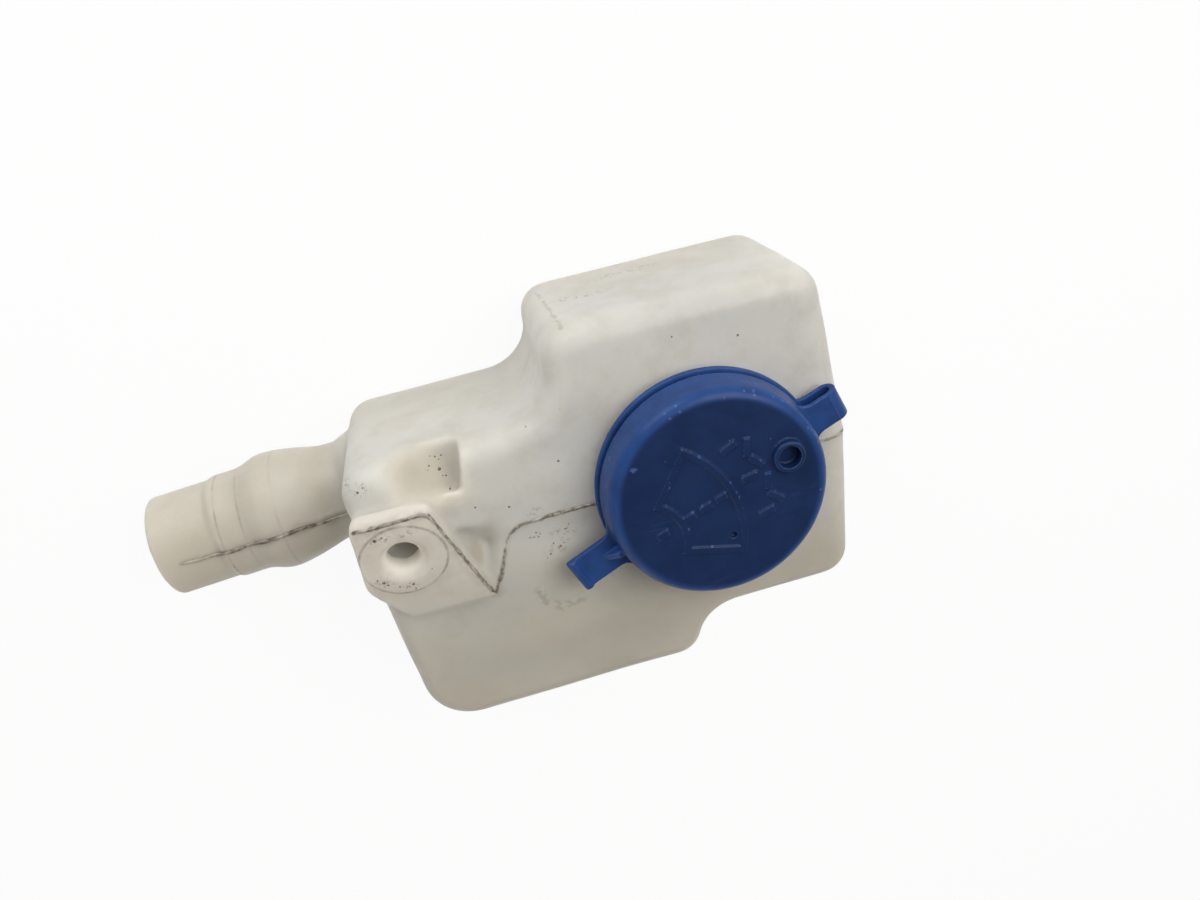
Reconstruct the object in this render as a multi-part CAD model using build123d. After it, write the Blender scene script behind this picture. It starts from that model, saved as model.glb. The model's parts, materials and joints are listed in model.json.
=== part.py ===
"""Windscreen washer fluid reservoir: a blown tank with a filler neck, a mounting
lug and a hose pipe, closed by a moulded cap that hinges on a tethered neck ring.

Millimetres, +Z up. The origin is on the neck axis in the plane of the flat base.
The tank parts along Y = 0, the pipe points to -X.
"""
import os
from math import atan2, cos, hypot, radians, sin, tan

from build123d import *

# Tank body, measured from the neck axis
WALL = 2.0
TANK_HEIGHT = 64.0
TOP_FALL = 3.5
EDGE_ROUND = 7.0
RIGHT_REACH = 42.0
SIDE_LEAN = 2.2
LEFT_REACH = 95.0
LEFT_LEAN = 5.0
TOWER_REACH = 48.0
TOWER_LEFT = 35.5
SHOULDER_REACH = 25.0
BELLY_REACH = 61.0
BELLY_RIGHT = 10.0
HEEL_STEP = 14.0
HEEL_SLANT = 6.0
CORNER_ROUND = 8.5
BELLY_ROUND = 15.0
TOWER_INSIDE_ROUND = 14.0
HEEL_INSIDE_ROUND = 12.0
HEEL_FULLNESS = 0.95
PARTING_EASE = 60.0
BASE_LIFT_FROM = 10.0
BASE_LIFT_RADIUS = 110.0

# Raised parting line left by the mould
SEAM_HEIGHT = 0.35
SEAM_WIDTH = 0.8

# Filler neck
NECK_BORE = 22.8
NECK_WALL = 2.2
NECK_RIM_RISE = 12.5
NECK_FOOT_FLANGE = 3.0
NECK_FOOT_RISE = 1.2
BEAD_DEPTH = 1.2
BEAD_HEIGHT = 2.4
BEAD_BELOW_RIM = 1.2

# Hose pipe
PIPE_RADIUS = 15.0
PIPE_WALL = 2.2
PIPE_AXIS_HEIGHT = 18.6
PIPE_AXIS_Y = 3.9
PIPE_YAW = 3.5
PIPE_LENGTH = 59.0
PIPE_MOUTH_CHAMFER = 0.6
PIPE_COLLAR = (18.6, 25.8, 0.7)
PIPE_BULGE = ((31.5, 2.4), (39.5, 2.2), (48.0, 0.2))
PIPE_WAIST = -0.6
PIPE_ROOT_FLARE = 1.5

# Mounting lug, in a frame tilted about X with its origin at the bolt hole
LUG_INSET = 12.7
LUG_Y = 1.6
LUG_RISE = 4.9
LUG_TILT = 13.0
LUG_CORNERS = ((-10.8, 13.1, 2.5), (9.8, 13.1, 2.0), (20.1, -21.8, 1.0), (-3.8, -21.3, 3.0), (-12.2, -8.5, 8.0))
LUG_THICKNESS = 6.0
LUG_ROOT_DEPTH = 19.0
LUG_BOSS_RADIUS = 11.2
LUG_BOSS_RISE = 0.6
LUG_DISH_RADIUS = 6.6
LUG_DISH_DEPTH = 2.6
LUG_HOLE_RADIUS = 4.25
CLIP_SLOT_HEIGHT = 11.0
CLIP_SLOT_WIDTH = 14.0
CLIP_SLOT_REACH = 9.0

# Tool recess behind the lug, from the left side of the tank
RECESS_INSET = 21.4
RECESS_WIDTH = 12.0
RECESS_FRONT = 10.5
RECESS_DEPTH = 12.0
RECESS_SLOPE = 4.0
RECESS_PITCH = 18.0
RECESS_TURN = 10.0
RECESS_ROUND = 3.5

# Pocket beside the lug, its corners measured from the bolt hole
POCKET_TIP = (19.7, -20.6)
POCKET_KNEE = (25.9, -5.0)
POCKET_END = (31.3, -2.2)
POCKET_START = (10.8, 3.4)
POCKET_DEPTH = 6.5
POCKET_TIP_DEPTH = 1.6
POCKET_LEAN = 34.0
POCKET_HEAD_LEAN = 45.0
POCKET_ROUND = 4.0

# Cap, ring and hairpin hinge, turned about the neck axis
CAP_TURN = 20.0
CAP_RADIUS = 30.0
CAP_TAPER = 0.8
CAP_HEIGHT = 10.2
CAP_SHOULDER = 3.2
CAP_TOP = 2.0
CAP_SKIRT = 1.8
CAP_GAP = 1.4
SEAT_WIDTH = 1.6
SPIGOT_OFFSET = 19.7
SPIGOT_RADIUS = 4.3
SPIGOT_BORE = 3.0
SPIGOT_RISE = 2.0
VENT_PIT_AT = (-2.8, -11.7)
VENT_PIT_RADIUS = 0.9
RING_RADIUS = 30.8
RING_THICKNESS = 1.8
RING_CLEARANCE = 0.3
STRAP_WIDTH = 8.5
STRAP_THICKNESS = 1.4
STRAP_FLARE = 2.2
STRAP_FLARE_LENGTH = 4.0
HINGE_REACH = 37.0
TAB_TURN = 2.5
TAB_REACH = 44.0
TAB_WIDTH = 9.6
TAB_THICKNESS = 1.8
TAB_LIP = 1.4
TAB_FLARE = 5.0
TAB_FLARE_LENGTH = 5.0
TAB_GUSSET_LENGTH = 7.0

# Raised washer symbol on the cap
SYMBOL_RISE = 0.45
SYMBOL_LINE = 1.7
SYMBOL_GAP = 0.8
GLASS_OUTER_MIDDLE = 3.7
GLASS_OUTER_CORNER = (-2.2, 18.1)
GLASS_INNER_MIDDLE = -13.1
GLASS_INNER_CORNER = (-16.5, 8.0)
JET_DASHES = ((-19.6, -16.3), (-11.3, -8.2), (-6.6, -3.3), (-2.0, 1.3))
SPRAY_HALF = ((5.2, 11.3), (10.3, 10.8), (13.1, 5.8), (11.1, 1.0), (6.0, 0.1))

# Heights and radii that follow from the sizes above
NECK_RADIUS = NECK_BORE + NECK_WALL
NECK_RIM = TANK_HEIGHT + NECK_RIM_RISE
RING_BASE = TANK_HEIGHT + NECK_FOOT_RISE
CAP_BASE = RING_BASE + RING_THICKNESS + CAP_GAP
CAP_UNDERSIDE = CAP_BASE + CAP_HEIGHT - CAP_TOP
STRAP_LOWER_TOP = RING_BASE + STRAP_THICKNESS
HINGE_HEIGHT = CAP_BASE
BEND_INNER = HINGE_HEIGHT - STRAP_LOWER_TOP
LIFT_SWEEP = 35.0
LARGE = 400.0
HEEL_REACH = BELLY_REACH - HEEL_STEP
LUG_X = LUG_INSET - LEFT_REACH
RECESS_LEFT = RECESS_INSET - LEFT_REACH
RECESS_RIGHT = RECESS_LEFT + RECESS_WIDTH


def plan_corners():
    """Corners of the tank in plan, anticlockwise, each with its rounding radius"""
    right = RIGHT_REACH - SIDE_LEAN
    slope = hypot(HEEL_STEP, HEEL_SLANT)
    room = slope / tan(atan2(HEEL_STEP, HEEL_SLANT) / 2)
    ease = min(1, HEEL_FULLNESS * room / (CORNER_ROUND + HEEL_INSIDE_ROUND))
    return [
        (RIGHT_REACH, 0, PARTING_EASE),
        (right, TOWER_REACH, CORNER_ROUND),
        (-TOWER_LEFT, TOWER_REACH, CORNER_ROUND),
        (-TOWER_LEFT, SHOULDER_REACH, TOWER_INSIDE_ROUND),
        (-LEFT_REACH, SHOULDER_REACH, CORNER_ROUND),
        (-LEFT_REACH + LEFT_LEAN, -BELLY_REACH, BELLY_ROUND),
        (-BELLY_RIGHT, -BELLY_REACH, ease * CORNER_ROUND),
        (-BELLY_RIGHT + HEEL_SLANT, -HEEL_REACH, ease * HEEL_INSIDE_ROUND),
        (right, -HEEL_REACH, CORNER_ROUND),
    ]


def plan_face(inset):
    """The plan outline drawn in by the inset"""
    corners = plan_corners()
    points = [(x, y) for x, y, radius in corners]
    radii = [radius for x, y, radius in corners]
    outline = make_face(FilletPolyline(*points, radius=radii, close=True))
    if inset == 0:
        return outline
    return offset(outline, amount=-inset)


def side_profile(side, inset):
    """Section of one mould half: a falling top, and a base that lifts under the tower"""
    fall = tan(radians(TOP_FALL))
    crest = TANK_HEIGHT - inset / cos(radians(TOP_FALL))
    reach = 1.5 * BELLY_REACH
    if side < 0:
        base = Line((0, inset), (-BELLY_REACH, inset))
    else:
        lift_radius = BASE_LIFT_RADIUS - inset
        centre = (BASE_LIFT_FROM, BASE_LIFT_RADIUS)
        flat = Line((0, inset), (BASE_LIFT_FROM, inset))
        base = Curve() + [flat, CenterArc(centre, lift_radius, -90, LIFT_SWEEP)]
    far_base = base @ 1
    far_top = (side * reach, crest - fall * reach)
    return make_face([
        *base.edges(),
        Line(far_base, (side * reach, far_base.Y)),
        Line((side * reach, far_base.Y), far_top),
        Line(far_top, (0, crest)),
        Line((0, crest), (0, inset)),
    ])


def half_body(side, inset):
    """One mould half of the body, with its top and base edges rounded"""
    strip = Pos(0, side * LARGE / 2) * Rectangle(LARGE, LARGE)
    column = extrude(plan_face(inset) & strip, TANK_HEIGHT + WALL)
    column += extrude(plan_face(inset) & strip, -WALL)
    block = column & extrude(Plane.YZ * side_profile(side, inset), LARGE / 2, both=True)
    rims = ShapeList()
    for edge in block.edges():
        upright = abs((edge % 0.5).Z) > 0.99
        at_parting = abs(edge.center().Y) < 0.01
        under_tower = abs(edge.center().Y - BASE_LIFT_FROM) < 0.01 and edge.center().Z < EDGE_ROUND
        if not (upright or at_parting or under_tower):
            rims.append(edge)
    return fillet(rims, EDGE_ROUND - inset)


def body(inset):
    """Both mould halves as one solid"""
    return half_body(1, inset) + half_body(-1, inset)


def pipe(inset, length_beyond=0.0):
    """The hose pipe as a revolved solid, drawn in by the inset"""
    mouth = PIPE_RADIUS - inset
    collar_start, collar_end, collar_rise = PIPE_COLLAR
    start = -length_beyond
    root = PIPE_LENGTH
    waist = mouth + PIPE_WAIST
    chamfer = PIPE_MOUTH_CHAMFER if length_beyond == 0 else 0
    spigot = Polyline(
        (start, 0),
        (start, mouth - chamfer),
        (start + PIPE_MOUTH_CHAMFER, mouth),
        (collar_start - collar_rise, mouth),
        (collar_start, mouth + collar_rise),
        (collar_end, mouth + collar_rise),
    )
    swell = Spline(
        (collar_end, mouth + collar_rise),
        *[(along, mouth + rise) for along, rise in PIPE_BULGE],
        (root - 2 * PIPE_ROOT_FLARE, waist),
        tangents=[(1, 0.1), (1, 0)],
    )
    inside = root + 3 * WALL
    end = Polyline(
        (root - 2 * PIPE_ROOT_FLARE, waist),
        (root, waist + PIPE_ROOT_FLARE),
        (inside, waist + PIPE_ROOT_FLARE),
        (inside, 0),
        (start, 0),
    )
    tube = revolve(Plane.XZ * make_face([*spigot.edges(), *swell.edges(), *end.edges()]), Axis.X)
    root_place = Pos(-LEFT_REACH, PIPE_AXIS_Y, PIPE_AXIS_HEIGHT) * Rotation(0, 0, PIPE_YAW)
    return root_place * Pos(-root, 0, 0) * tube


def neck():
    """Neck tube with its foot flange and snap bead, still without its bore"""
    bead_low = NECK_RIM - BEAD_BELOW_RIM - BEAD_HEIGHT
    foot = NECK_RADIUS + NECK_FOOT_FLANGE
    with_bead = NECK_RADIUS + BEAD_DEPTH
    profile = make_face(Polyline(
        (0, TANK_HEIGHT - 2 * WALL),
        (foot, TANK_HEIGHT - 2 * WALL),
        (foot, RING_BASE),
        (NECK_RADIUS, RING_BASE),
        (NECK_RADIUS, bead_low),
        (with_bead, bead_low + BEAD_HEIGHT / 3),
        (with_bead, bead_low + 2 * BEAD_HEIGHT / 3),
        (NECK_RADIUS, bead_low + BEAD_HEIGHT),
        (NECK_RADIUS, NECK_RIM),
        (0, NECK_RIM),
        close=True,
    ))
    return revolve(Plane.XZ * profile, Axis.Z)


def lug_frame():
    """Plane of the lug's face, its origin at the bolt hole"""
    tilt = Rotation(LUG_TILT, 0, 0)
    return Pos(LUG_X, LUG_Y, TANK_HEIGHT + LUG_RISE) * tilt


def lug_outline():
    """The lug's face, seen along the bolt"""
    points = [(x, y) for x, y, radius in LUG_CORNERS]
    radii = [radius for x, y, radius in LUG_CORNERS]
    return make_face(FilletPolyline(*points, radius=radii, close=True))


def lug():
    """Lug plate, its upright root in the tank wall and the round boss about the hole"""
    plate = extrude(lug_outline(), -LUG_THICKNESS)
    root_strip = Pos(LARGE / 2 - LUG_INSET, 0) * Rectangle(LARGE, LARGE)
    root = extrude(lug_frame() * (lug_outline() & root_strip), LUG_ROOT_DEPTH, dir=(0, 0, -1))
    boss = Cylinder(LUG_BOSS_RADIUS, LUG_BOSS_RISE, align=(Align.CENTER, Align.CENTER, Align.MIN))
    return lug_frame() * (plate + boss) + root


def clip_slot(grow):
    """Room under the plate for a clip nut, open to the left"""
    length = CLIP_SLOT_REACH + LARGE / 4 + grow
    slot = Box(
        length,
        CLIP_SLOT_WIDTH + 2 * grow,
        CLIP_SLOT_HEIGHT + grow,
        align=(Align.MAX, Align.CENTER, Align.MAX),
    )
    return lug_frame() * Pos(CLIP_SLOT_REACH + grow, 0, -LUG_THICKNESS) * slot


def bolt_hole():
    """The hole through the plate and the dish about it"""
    top = LUG_BOSS_RISE
    hole = Cylinder(LUG_HOLE_RADIUS, 3 * LUG_THICKNESS)
    dish = Pos(0, 0, top - LUG_DISH_DEPTH / 2) * Cone(LUG_HOLE_RADIUS, LUG_DISH_RADIUS, LUG_DISH_DEPTH)
    return lug_frame() * (hole + dish)


def recess(grow):
    """Channel for a tool above the lug, open at the back"""
    floor = TANK_HEIGHT - RECESS_DEPTH - grow
    top = TANK_HEIGHT + RECESS_DEPTH
    profile = make_face(Polyline(
        (RECESS_LEFT - 2 * RECESS_SLOPE - grow, top),
        (RECESS_LEFT - grow, floor),
        (RECESS_RIGHT + grow, floor),
        (RECESS_RIGHT + grow, top),
        close=True,
    ))
    channel = Pos(0, -grow, 0) * extrude(Plane.XZ * profile, -LARGE / 4)
    floor_face = channel.faces().sort_by(Axis.Z)[0]
    floor_edges = [edge for edge in floor_face.edges() if edge.center().Y < LARGE / 5]
    rounded = fillet(floor_edges, RECESS_ROUND)
    back_corner = Pos(RECESS_RIGHT, SHOULDER_REACH, TANK_HEIGHT - RECESS_DEPTH)
    level = back_corner.inverse() * Pos(0, RECESS_FRONT, 0) * rounded
    return back_corner * Rotation(0, 0, -RECESS_TURN) * Rotation(-RECESS_PITCH, 0, 0) * level


def half_space(origin, x_dir, normal, grow):
    """Everything on one side of a plane that is first moved back by grow"""
    plane = Plane(origin=origin - normal * grow, x_dir=x_dir, z_dir=normal)
    return plane * Box(LARGE, LARGE, LARGE, align=(Align.CENTER, Align.CENTER, Align.MIN))


def leaning_wall(start, end, lean, grow):
    """The room inside a pocket wall that leans outwards as it rises, from its line on the top"""
    along = (end - start).normalized()
    inwards = Vector(0, 0, 1).cross(along)
    normal = inwards * cos(radians(lean)) + Vector(0, 0, sin(radians(lean)))
    return half_space(start, along, normal, grow)


def pocket(grow):
    """Pocket beside the lug: its floor falls from the lug to the foot of the leaning wall"""
    tip, knee, end, start = [
        Vector(LUG_X + x, LUG_Y + y, TANK_HEIGHT) for x, y in (POCKET_TIP, POCKET_KNEE, POCKET_END, POCKET_START)
    ]
    mouth = make_face(FilletPolyline(tip, knee, end, start, radius=[0, POCKET_ROUND, 0, 0], close=True))
    if grow:
        mouth = offset(mouth, amount=grow)
    column = extrude(mouth, 2 * POCKET_DEPTH, both=True)
    wall_inwards = Vector(0, 0, 1).cross((knee - tip).normalized())
    foot = knee + wall_inwards * POCKET_DEPTH * tan(radians(POCKET_LEAN)) - Vector(0, 0, POCKET_DEPTH)
    low_tip = tip - Vector(0, 0, POCKET_TIP_DEPTH)
    floor_normal = (foot - low_tip).cross(start - low_tip).normalized()
    above_floor = half_space(low_tip, start - low_tip, floor_normal, grow)
    inside_wall = leaning_wall(tip, knee, POCKET_LEAN, grow)
    inside_head = leaning_wall(end, start, POCKET_HEAD_LEAN, grow)
    return column & above_floor & inside_wall & inside_head


def seam():
    """Raised line where the mould halves met, on the body and along the pipe behind its spigot"""
    slab = Box(LARGE, SEAM_WIDTH, LARGE, align=(Align.CENTER, Align.CENTER, Align.MIN))
    body_line = body(-SEAM_HEIGHT) & slab
    spigot_length = PIPE_COLLAR[0]
    collar_x = -LEFT_REACH - PIPE_LENGTH + spigot_length
    behind_collar = Pos(collar_x, 0, 0) * Box(LARGE, LARGE, LARGE, align=(Align.MIN, Align.CENTER, Align.CENTER))
    pipe_slab = Pos(-LEFT_REACH, PIPE_AXIS_Y, 0) * Rotation(0, 0, PIPE_YAW) * slab
    pipe_line = pipe(-SEAM_HEIGHT) & pipe_slab & behind_collar
    return body_line + pipe_line


def tank_shell():
    """The blown tank in one piece"""
    outside = body(0) + pipe(0) + neck() + seam() - pocket(0) - recess(0)
    outside = outside + lug() - clip_slot(0) - bolt_hole()
    inside = body(WALL) - recess(WALL) - pocket(WALL) - clip_slot(WALL)
    inside = inside + pipe(PIPE_WALL, length_beyond=WALL)
    bore_height = NECK_RIM_RISE + 3 * WALL
    bore = Pos(0, 0, NECK_RIM - bore_height) * Cylinder(
        NECK_BORE, 2 * bore_height, align=(Align.CENTER, Align.CENTER, Align.MIN)
    )
    return outside - inside - bore


def cap_turn():
    """Turns the cap and ring to where the hinge points"""
    return Rotation(0, 0, CAP_TURN)


def cap_body():
    """Skirt, top, seat and snap rib as one revolved section"""
    top = CAP_BASE + CAP_HEIGHT
    crown_radius = CAP_RADIUS - CAP_TAPER
    shoulder_start = (crown_radius, top - CAP_SHOULDER)
    shoulder_end = (crown_radius - CAP_SHOULDER, top)
    skirt_inside = CAP_RADIUS - CAP_SKIRT
    rib_radius = NECK_RADIUS + BEAD_DEPTH + 2 * RING_CLEARANCE
    rib_height = CAP_BASE + CAP_TOP
    seat_middle = (NECK_BORE + NECK_RADIUS) / 2
    plug = NECK_BORE - BEAD_DEPTH
    outline = [
        Line((0, top), shoulder_end),
        RadiusArc(shoulder_end, shoulder_start, CAP_SHOULDER, short_sagitta=True),
        Line(shoulder_start, (CAP_RADIUS, CAP_BASE)),
        Polyline(
            (CAP_RADIUS, CAP_BASE),
            (skirt_inside, CAP_BASE),
            (rib_radius, rib_height),
            (rib_radius, rib_height + SEAM_WIDTH),
            (skirt_inside, rib_height + CAP_TOP),
            (skirt_inside - CAP_TAPER, CAP_UNDERSIDE),
            (seat_middle + SEAT_WIDTH / 2, CAP_UNDERSIDE),
            (seat_middle + SEAT_WIDTH / 2, NECK_RIM),
            (seat_middle - SEAT_WIDTH / 2, NECK_RIM),
            (seat_middle - SEAT_WIDTH / 2, CAP_UNDERSIDE),
            (plug, CAP_UNDERSIDE),
            (plug - WALL / 10, NECK_RIM - SEAT_WIDTH),
            (plug - SEAT_WIDTH, NECK_RIM - SEAT_WIDTH),
            (plug - SEAT_WIDTH, CAP_UNDERSIDE),
            (0, CAP_UNDERSIDE),
            (0, top),
        ),
    ]
    return revolve(Plane.XZ * make_face(outline), Axis.Z)


def flared_strip(root, half, flare, flare_length, reach):
    """A strip along X, as wide as its flare inside the root radius and curving in to its own width"""
    wide = half + flare
    inner = root * cos(atan2(wide, root))
    outer = inner + flare_length
    return make_face([
        Spline((inner, -wide), (outer, -half), tangents=[(1, 0.7), (1, 0)]),
        Polyline((outer, -half), (reach, -half), (reach, half), (outer, half)),
        Spline((outer, half), (inner, wide), tangents=[(-1, 0), (-1, 0.7)]),
        Polyline((inner, wide), (inner - half, wide), (inner - half, -wide), (inner, -wide)),
    ])


def pull_tab():
    """Flared tab with a rolled lip, opposite the hinge"""
    root = CAP_RADIUS - CAP_SKIRT / 2
    outline = flared_strip(root, TAB_WIDTH / 2, TAB_FLARE, TAB_FLARE_LENGTH, TAB_REACH)
    blade = Pos(0, 0, CAP_BASE) * extrude(outline, TAB_THICKNESS)
    lip = Pos(TAB_REACH - TAB_LIP, 0, CAP_BASE + TAB_LIP) * Rotation(90, 0, 0) * Cylinder(TAB_LIP, TAB_WIDTH)
    gusset_height = CAP_BASE + CAP_HEIGHT / 2
    gusset_profile = make_face(Polyline(
        (root, CAP_BASE),
        (root + TAB_GUSSET_LENGTH, CAP_BASE + TAB_THICKNESS / 2),
        (root + TAB_GUSSET_LENGTH / 4, gusset_height),
        (root, gusset_height),
        close=True,
    ))
    gusset = extrude(Plane.XZ * gusset_profile, TAB_THICKNESS / 2, both=True)
    hollow = Cylinder(root, LARGE)
    return Rotation(0, 0, 180 + TAB_TURN) * (blade + lip + gusset) - hollow


def strap_leg(root, base):
    """Flat leg of the hairpin, flared where it leaves its root radius, out to the bend"""
    outline = flared_strip(root, STRAP_WIDTH / 2, STRAP_FLARE, STRAP_FLARE_LENGTH, HINGE_REACH)
    leg = Pos(0, 0, base) * extrude(outline, STRAP_THICKNESS)
    return leg - Cylinder(root, LARGE)


def glass_outline():
    """Raised outline of the windscreen in the symbol"""
    outer_high = GLASS_OUTER_CORNER
    outer_low = (outer_high[0], -outer_high[1])
    inner_high = GLASS_INNER_CORNER
    inner_low = (inner_high[0], -inner_high[1])
    glass = make_face([
        ThreePointArc(outer_low, (GLASS_OUTER_MIDDLE, 0), outer_high),
        Line(outer_high, inner_high),
        ThreePointArc(inner_high, (GLASS_INNER_MIDDLE, 0), inner_low),
        Line(inner_low, outer_low),
    ])
    return glass - offset(glass, amount=-SYMBOL_LINE)


def dash(start, end):
    """One bar of the symbol between two points"""
    bar = Vector(*end) - Vector(*start)
    middle = (Vector(*start) + Vector(*end)) / 2
    return Pos(middle.X, middle.Y) * Rotation(0, 0, bar.get_signed_angle(Vector(1, 0)) * -1) * Rectangle(
        bar.length, SYMBOL_LINE
    )


def washer_symbol():
    """Windscreen with a fan of spray, raised on the cap"""
    bars = [dash((start, 0), (end, 0)) for start, end in JET_DASHES]
    for side in (1, -1):
        for a, b in zip(SPRAY_HALF, SPRAY_HALF[1:]):
            if side == -1 and b == SPRAY_HALF[-1]:
                continue
            start = Vector(a[0], a[1] * side)
            end = Vector(b[0], b[1] * side)
            gap = (end - start).normalized() * SYMBOL_GAP / 2
            bars.append(dash(tuple(start + gap), tuple(end - gap)))
    raised = [extrude(glass_outline(), SYMBOL_RISE + CAP_TOP / 4)]
    raised += [extrude(bar, SYMBOL_RISE + CAP_TOP / 4) for bar in bars]
    base = CAP_BASE + CAP_HEIGHT - CAP_TOP / 4
    return [Pos(0, 0, base) * piece for piece in raised]


def filler_cap():
    """Cap with its pull tab, spigot, symbol and the upper leg of the hinge"""
    top = CAP_BASE + CAP_HEIGHT
    cap = cap_body() + pull_tab()
    cap += strap_leg(CAP_RADIUS - CAP_SKIRT / 2, HINGE_HEIGHT + BEND_INNER)
    spigot = Pos(SPIGOT_OFFSET, 0, top - CAP_TOP) * Cylinder(
        SPIGOT_RADIUS, CAP_TOP + SPIGOT_RISE, align=(Align.CENTER, Align.CENTER, Align.MIN)
    )
    rim = spigot.faces().sort_by(Axis.Z)[-1].edges()
    cap += fillet(rim, SPIGOT_RISE / 3)
    for piece in washer_symbol():
        cap += piece
    cap -= Pos(SPIGOT_OFFSET, 0, top) * Cylinder(SPIGOT_BORE, 4 * CAP_HEIGHT)
    cap -= Pos(VENT_PIT_AT[0], VENT_PIT_AT[1], top) * Cylinder(VENT_PIT_RADIUS, CAP_TOP)
    return cap_turn() * cap


def retaining_ring():
    """Loose ring under the cap with the lower leg of the hinge"""
    ring_inside = NECK_RADIUS + RING_CLEARANCE
    ring = Pos(0, 0, RING_BASE) * Cylinder(
        RING_RADIUS, RING_THICKNESS, align=(Align.CENTER, Align.CENTER, Align.MIN)
    )
    rims = ring.faces().sort_by(Axis.Z)[-1].edges() + ring.faces().sort_by(Axis.Z)[0].edges()
    ring = fillet(rims, RING_THICKNESS / 4)
    ring += strap_leg(RING_RADIUS - STRAP_THICKNESS, RING_BASE)
    ring -= Cylinder(ring_inside, LARGE)
    return cap_turn() * ring


def hinge_loop():
    """Half-round bend of the hairpin between the two legs"""
    bend_outer = BEND_INNER + STRAP_THICKNESS
    section = Circle(bend_outer) - Circle(BEND_INNER)
    outer_half = Pos(bend_outer, 0) * Rectangle(2 * bend_outer, 4 * bend_outer)
    bend = extrude(Plane.XZ * (section & outer_half), STRAP_WIDTH / 2, both=True)
    return cap_turn() * Pos(HINGE_REACH, 0, HINGE_HEIGHT) * bend


def main():
    os.makedirs("parts", exist_ok=True)
    pieces = {
        "tank_shell": tank_shell(),
        "filler_cap": filler_cap(),
        "retaining_ring": retaining_ring(),
        "hinge_loop": hinge_loop(),
    }
    for name, piece in pieces.items():
        export_step(piece, f"parts/{name}.step")


main()
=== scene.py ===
"""Looks of a windscreen washer fluid reservoir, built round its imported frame.

Metres, +Z up, in the frame's own coordinates. Lengths times MM, and all lengths in the
materials, are in millimetres. The tank is one blow moulding in milky polyethylene. The cap,
its ring and the strap between them are navy polypropylene.
"""
import json
from math import cos, pi, radians, sin

import bpy
import numpy as np
from mathutils import Matrix, Vector, noise
from mathutils.bvhtree import BVHTree


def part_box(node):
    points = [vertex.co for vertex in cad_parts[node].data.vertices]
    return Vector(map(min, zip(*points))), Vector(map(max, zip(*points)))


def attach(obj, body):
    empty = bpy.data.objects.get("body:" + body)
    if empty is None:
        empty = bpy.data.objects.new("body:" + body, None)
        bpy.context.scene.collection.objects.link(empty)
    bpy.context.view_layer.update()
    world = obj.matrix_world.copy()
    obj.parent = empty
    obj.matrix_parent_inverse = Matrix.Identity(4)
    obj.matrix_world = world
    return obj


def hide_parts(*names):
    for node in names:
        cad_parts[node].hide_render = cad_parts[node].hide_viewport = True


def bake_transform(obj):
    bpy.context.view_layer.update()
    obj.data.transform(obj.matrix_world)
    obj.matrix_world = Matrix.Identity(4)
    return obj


MM = 0.001
UP = Vector((0, 0, 1))

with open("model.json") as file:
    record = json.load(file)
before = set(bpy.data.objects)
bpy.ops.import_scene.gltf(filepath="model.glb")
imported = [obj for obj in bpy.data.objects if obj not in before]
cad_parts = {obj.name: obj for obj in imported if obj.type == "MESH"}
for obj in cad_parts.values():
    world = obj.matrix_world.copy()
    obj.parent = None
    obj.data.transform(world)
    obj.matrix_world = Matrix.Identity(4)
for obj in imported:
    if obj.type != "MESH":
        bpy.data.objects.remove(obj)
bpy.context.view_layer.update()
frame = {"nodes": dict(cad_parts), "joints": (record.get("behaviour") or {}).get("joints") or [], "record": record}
scene = bpy.context.scene


def mount(name):
    """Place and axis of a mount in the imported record"""
    found = next(m for m in frame["record"]["mounts"] if m["name"] == name)
    return Vector(found["pos_m"]), Vector(found["axis"])


def joint(name):
    """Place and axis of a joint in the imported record"""
    found = next(j for j in frame["joints"] if j["name"] == name)
    return Vector(found["pos_m"]), Vector(found["axis"])


TANK_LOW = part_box("tank_shell")[0]
CAP_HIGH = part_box("filler_cap")[1]
LOOP_LOW, LOOP_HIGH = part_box("hinge_loop")
LUG_HOLE, LUG_AXIS = mount("lug_bolt")
PIPE_MIDDLE, PIPE_OUT = mount("hose_pipe")
HINGE_PLACE, HINGE_AXIS = joint("cap_hinge")
HINGE_OUT = Vector((HINGE_PLACE.x, HINGE_PLACE.y, 0)).normalized()


# Mesh helpers

WELD_DISTANCE = 1e-6


def new_object(name, data):
    """A new object for a mesh, light or camera"""
    made = bpy.data.objects.new(name, data)
    scene.collection.objects.link(made)
    return made


def mesh_object(name, points, faces):
    """A new object from lists of points and faces"""
    mesh = bpy.data.meshes.new(name)
    mesh.from_pydata([tuple(point) for point in points], [], faces)
    return new_object(name, mesh)


def coordinates(mesh):
    """The places of all vertices, a row each"""
    found = np.empty(len(mesh.vertices) * 3)
    mesh.vertices.foreach_get("co", found)
    return found.reshape(-1, 3)


def set_coordinates(mesh, points):
    """Moves all vertices"""
    mesh.vertices.foreach_set("co", points.astype(np.float32).ravel())
    mesh.update()


def normals_of(mesh):
    """The normals of all vertices, a row each"""
    found = np.empty(len(mesh.vertices) * 3)
    mesh.vertices.foreach_get("normal", found)
    return found.reshape(-1, 3)


def edge_ends(mesh):
    """The vertex numbers at the first and at the second end of each edge"""
    found = np.empty(len(mesh.edges) * 2, dtype=np.int64)
    mesh.edges.foreach_get("vertices", found)
    return found.reshape(-1, 2).T


def triangle_count(mesh):
    """How many triangles a mesh's faces make"""
    return sum(len(face.vertices) - 2 for face in mesh.polygons)


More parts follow.
